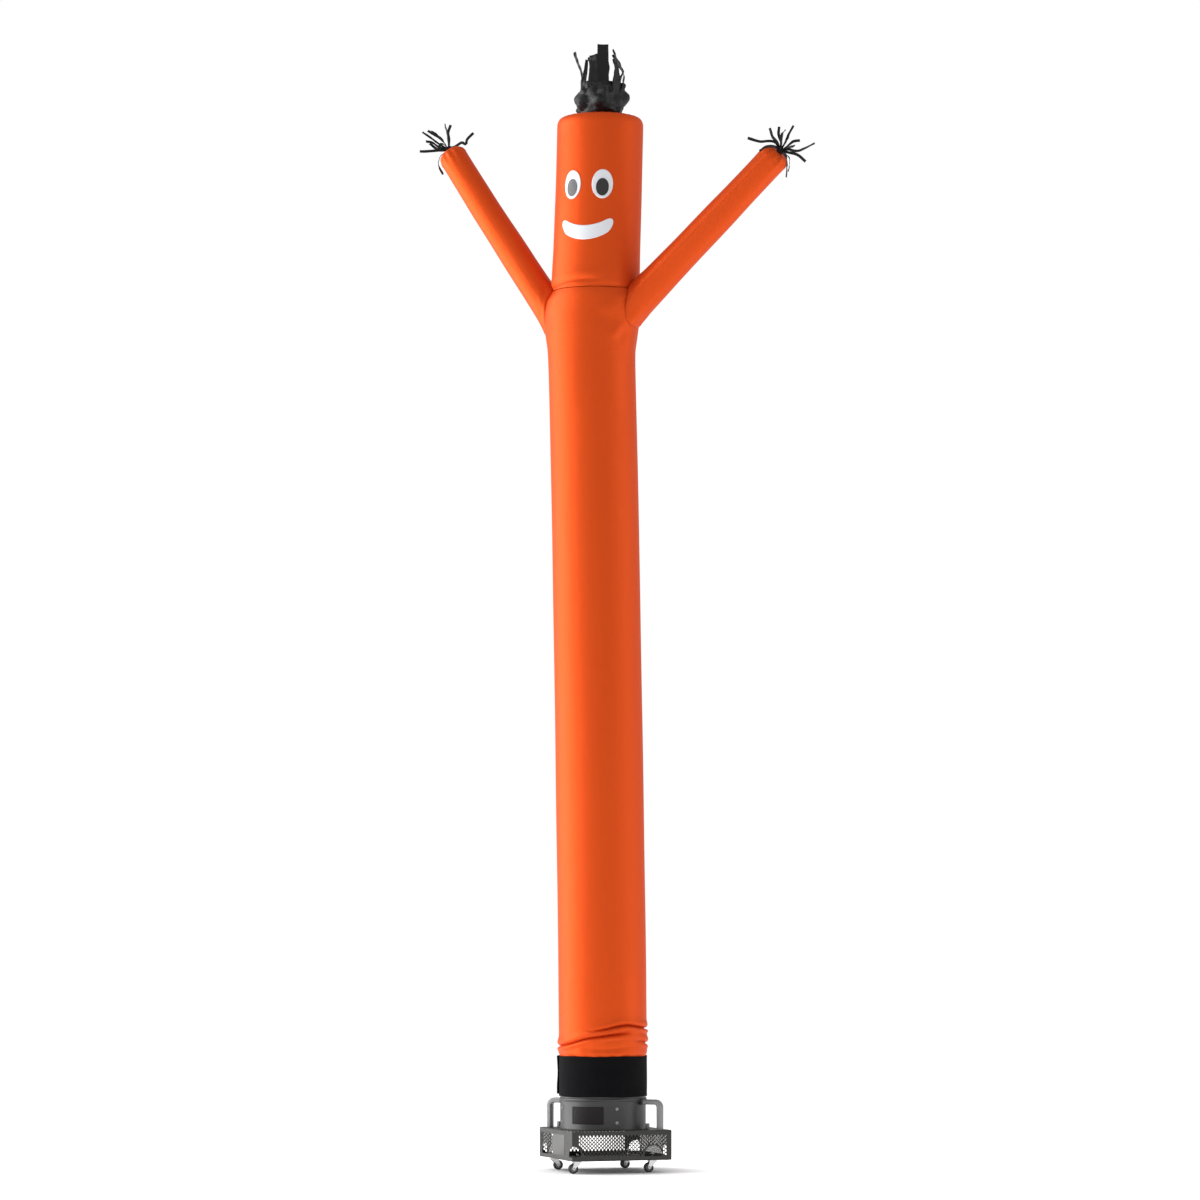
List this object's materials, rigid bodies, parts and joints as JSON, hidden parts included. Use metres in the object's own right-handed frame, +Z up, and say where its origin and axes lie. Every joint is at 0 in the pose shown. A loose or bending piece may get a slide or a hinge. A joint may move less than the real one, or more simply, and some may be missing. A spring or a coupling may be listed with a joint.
{
  "type": "inflatable air dancer on its blower",
  "caption": "Upright inflated cloth tube figure with raised arms, a smiling face and black streamers, strapped to a square steel fan base on swivel casters.",
  "frame": {"origin": "on the floor, under the middle of the whole part", "axes": "+Z up, -Y towards the viewer of the picture, +X to that viewer's right"},
  "size_m": [2.0782, 0.9596, 5.9074],
  "materials": {
    "orange_cloth": "light coated nylon, satin",
    "black_cloth": "light coated nylon, shiny and crumpled",
    "black_band": "hook-and-loop pile, matte",
    "white_cloth": "light coated nylon, sewn on",
    "grey_print": "light coated nylon, dark grey",
    "black_print": "light coated nylon, black",
    "label_film": "smooth dark film, bare",
    "dark_steel": "dark satin powder coat",
    "grey_steel": "grey satin powder coat",
    "chrome": "bright plating",
    "wheel_rubber": "black, matte"
  },
  "bodies": {
    "base": {"arm_left": "orange_cloth", "arm_right": "orange_cloth", "body_tube": "orange_cloth", "head_tube": "orange_cloth", "cuff": "black_band", "hair": "black_cloth", "hand_left": "black_cloth", "hand_right": "black_cloth", "eye_left": "white_cloth", "eye_right": "white_cloth", "pupil_left": "grey_print", "pupil_right": "black_print", "smile": "white_cloth", "duct": "dark_steel", "label_plate": "label_film", "deck": "dark_steel", "wall_front": "dark_steel", "wall_right": "dark_steel", "wall_back": "dark_steel", "wall_left": "dark_steel", "cover_plate": "grey_steel", "cover_screw_1": "chrome", "cover_screw_2": "chrome", "handle_left": "grey_steel", "handle_right": "grey_steel", "handle_bracket_left": "dark_steel", "handle_bracket_right": "dark_steel", "foot_clip_left": "grey_steel", "foot_clip_right": "grey_steel", "duct_bolt_1": "chrome", "duct_bolt_2": "chrome", "duct_bolt_3": "chrome", "duct_bolt_4": "chrome", "duct_bolt_5": "chrome", "duct_bolt_6": "chrome", "duct_bolt_7": "chrome", "duct_bolt_8": "chrome", "gusset_front_left": "dark_steel", "gusset_front_right": "dark_steel", "gusset_back_right": "dark_steel", "gusset_back_left": "dark_steel", "caster_stem_front_left": "chrome", "caster_stem_front_right": "chrome", "caster_stem_back_right": "chrome", "caster_stem_back_left": "chrome"},
    "swivel_front_left": {"caster_fork_front_left": "chrome", "caster_axle_front_left": "chrome"},
    "wheel_front_left": {"caster_wheel_front_left": "wheel_rubber"},
    "swivel_front_right": {"caster_fork_front_right": "chrome", "caster_axle_front_right": "chrome"},
    "wheel_front_right": {"caster_wheel_front_right": "wheel_rubber"},
    "swivel_back_right": {"caster_fork_back_right": "chrome", "caster_axle_back_right": "chrome"},
    "wheel_back_right": {"caster_wheel_back_right": "wheel_rubber"},
    "swivel_back_left": {"caster_fork_back_left": "chrome", "caster_axle_back_left": "chrome"},
    "wheel_back_left": {"caster_wheel_back_left": "wheel_rubber"}
  },
  "joints": [
    {"name": "swivel_turn_front_left", "type": "hinge", "parent": "base", "child": "swivel_front_left", "pos_m": [-0.19344, -0.20219, 0.06], "axis": [0, 0, 1], "continuous": true},
    {"name": "wheel_spin_front_left", "type": "hinge", "parent": "swivel_front_left", "child": "wheel_front_left", "pos_m": [-0.21224, -0.20903, 0.02519], "axis": [0.342, -0.9397, 0], "continuous": true},
    {"name": "swivel_turn_front_right", "type": "hinge", "parent": "base", "child": "swivel_front_right", "pos_m": [0.19468, -0.07007, 0.06], "axis": [0, 0, 1], "continuous": true},
    {"name": "wheel_spin_front_right", "type": "hinge", "parent": "swivel_front_right", "child": "wheel_front_right", "pos_m": [0.17589, -0.07691, 0.02519], "axis": [0.342, -0.9397, 0], "continuous": true},
    {"name": "swivel_turn_back_right", "type": "hinge", "parent": "base", "child": "swivel_back_right", "pos_m": [0.07544, 0.28019, 0.06], "axis": [0, 0, 1], "continuous": true},
    {"name": "wheel_spin_back_right", "type": "hinge", "parent": "swivel_back_right", "child": "wheel_back_right", "pos_m": [0.05613, 0.27502, 0.02519], "axis": [0.2588, -0.9659, 0], "continuous": true},
    {"name": "swivel_turn_back_left", "type": "hinge", "parent": "base", "child": "swivel_back_left", "pos_m": [-0.31268, 0.14807, 0.06], "axis": [0, 0, 1], "continuous": true},
    {"name": "wheel_spin_back_left", "type": "hinge", "parent": "swivel_back_left", "child": "wheel_back_left", "pos_m": [-0.29336, 0.15324, 0.02519], "axis": [-0.2588, 0.9659, 0], "continuous": true}
  ]
}
